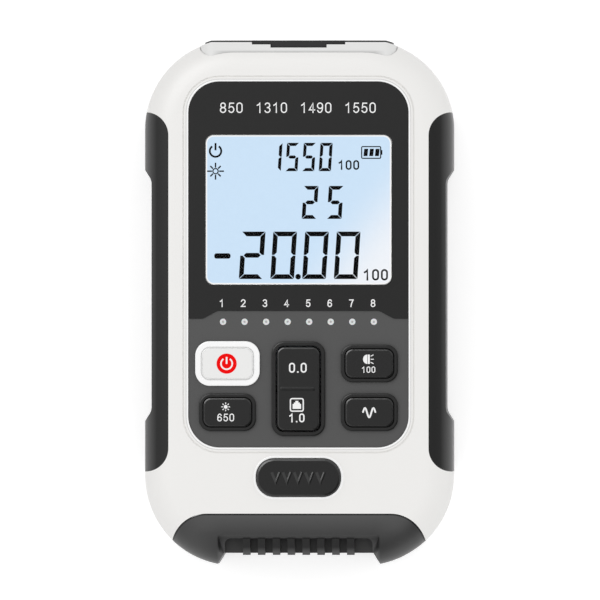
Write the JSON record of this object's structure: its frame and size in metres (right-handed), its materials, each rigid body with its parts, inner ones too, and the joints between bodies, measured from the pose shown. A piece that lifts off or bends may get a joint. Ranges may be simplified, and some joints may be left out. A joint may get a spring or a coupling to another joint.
{
  "type": "optical power meter",
  "caption": "Hand-held optical power meter: white case with rubber side grips, display, keypad, flip dust lid over fibre ports and a pull-out cable test unit.",
  "frame": {"origin": "middle of the back face, under the centre of the bounding box", "axes": "+X across the case to the right as the display is read, +Y along the case towards the port end, +Z out of the display"},
  "size_m": [0.073, 0.124, 0.032],
  "materials": {
    "shell": "fine satin moulded ABS",
    "grip": "matte soft-touch rubber",
    "display_bezel": "satin",
    "keypad_bezel": "satin",
    "lens": "clear acrylic",
    "display_glass": "reflective liquid crystal glass",
    "backlight": "clear moulded light guide",
    "connector": "layered silicone",
    "chips": "moulded epoxy",
    "board": "solder mask",
    "key_mat": "silicone",
    "key": "satin",
    "dark_plastic": "fine textured",
    "jack": "satin",
    "contact": "gold flashed",
    "port": "nickel plated",
    "screw": "zinc plated",
    "detector": "gold plated can",
    "torch": "clear epoxy",
    "cell": "printed sleeve"
  },
  "bodies": {
    "case": {"front_shell": "shell", "back_shell": "shell", "left_grip": "grip", "right_grip": "grip", "display_bezel": "display_bezel", "keypad_bezel": "keypad_bezel", "display_lens": "lens", "display_glass": "display_glass", "backlight": "backlight", "light_guide": "backlight", "display_connectors": "connector", "indicator_chips": "chips", "main_board": "board", "key_mat": "key_mat", "port_frame": "shell", "port_panel": "dark_plastic", "meter_port": "port", "laser_port": "port", "port_nuts": "port", "optical_detector": "detector", "laser_module": "detector", "torch_lamp": "torch", "lid_hinge_pin": "screw", "main_jack": "jack", "main_jack_contacts": "contact", "battery_cell_1": "cell", "battery_cell_2": "cell", "battery_cell_3": "cell", "battery_contacts": "contact", "case_screws": "screw", "board_screws": "screw", "remote_latch": "contact"},
    "dust_lid_body": {"dust_lid": "dark_plastic"},
    "battery_door_body": {"battery_door": "shell"},
    "remote_unit": {"remote_front_cover": "dark_plastic", "remote_back_cover": "dark_plastic", "remote_screws": "screw", "remote_jack": "jack", "remote_jack_contacts": "contact", "remote_board": "board"},
    "power_key_body": {"power_key": "key"},
    "laser_key_body": {"laser_key": "key"},
    "lamp_key_body": {"lamp_key": "key"},
    "wavelength_key_body": {"wavelength_key": "key"},
    "reference_key_body": {"reference_key": "key"},
    "release_button_body": {"release_button": "dark_plastic"}
  },
  "joints": [
    {"name": "power_key_press", "type": "slide", "parent": "case", "child": "power_key_body", "axis": [0, 0, -1], "range_m": [0, 0.0007], "stiffness_N_per_m": 1500, "springref_m": -0.0005, "deforming": ["key_mat"]},
    {"name": "laser_key_press", "type": "slide", "parent": "case", "child": "laser_key_body", "axis": [0, 0, -1], "range_m": [0, 0.0007], "stiffness_N_per_m": 1500, "springref_m": -0.0005, "deforming": ["key_mat"]},
    {"name": "lamp_key_press", "type": "slide", "parent": "case", "child": "lamp_key_body", "axis": [0, 0, -1], "range_m": [0, 0.0007], "stiffness_N_per_m": 1500, "springref_m": -0.0005, "deforming": ["key_mat"]},
    {"name": "wavelength_key_press", "type": "slide", "parent": "case", "child": "wavelength_key_body", "axis": [0, 0, -1], "range_m": [0, 0.0007], "stiffness_N_per_m": 1500, "springref_m": -0.0005, "deforming": ["key_mat"]},
    {"name": "reference_key_rock", "type": "hinge", "parent": "case", "child": "reference_key_body", "pos_m": [0, -0.0205, 0.0271], "axis": [1, 0, 0], "range_deg": [-3, 3], "stiffness_Nm_per_rad": 0.2, "deforming": ["key_mat"]},
    {"name": "release_button_press", "type": "slide", "parent": "case", "child": "release_button_body", "axis": [0, 0, -1], "range_m": [0, 0.0014], "stiffness_N_per_m": 2500, "springref_m": -0.0004, "deforming": ["remote_latch"]},
    {"name": "remote_unit_slide", "type": "slide", "parent": "case", "child": "remote_unit", "axis": [0, -1, 0], "range_m": [0, 0.024], "deforming": ["remote_latch"]},
    {"name": "dust_lid_swing", "type": "hinge", "parent": "case", "child": "dust_lid_body", "pos_m": [0, 0.06035, 0.0056], "axis": [-1, 0, 0], "range_deg": [0, 95]},
    {"name": "battery_door_swing", "type": "hinge", "parent": "case", "child": "battery_door_body", "pos_m": [0, 0.0287, 0.0011], "axis": [1, 0, 0], "range_deg": [0, 75]}
  ]
}
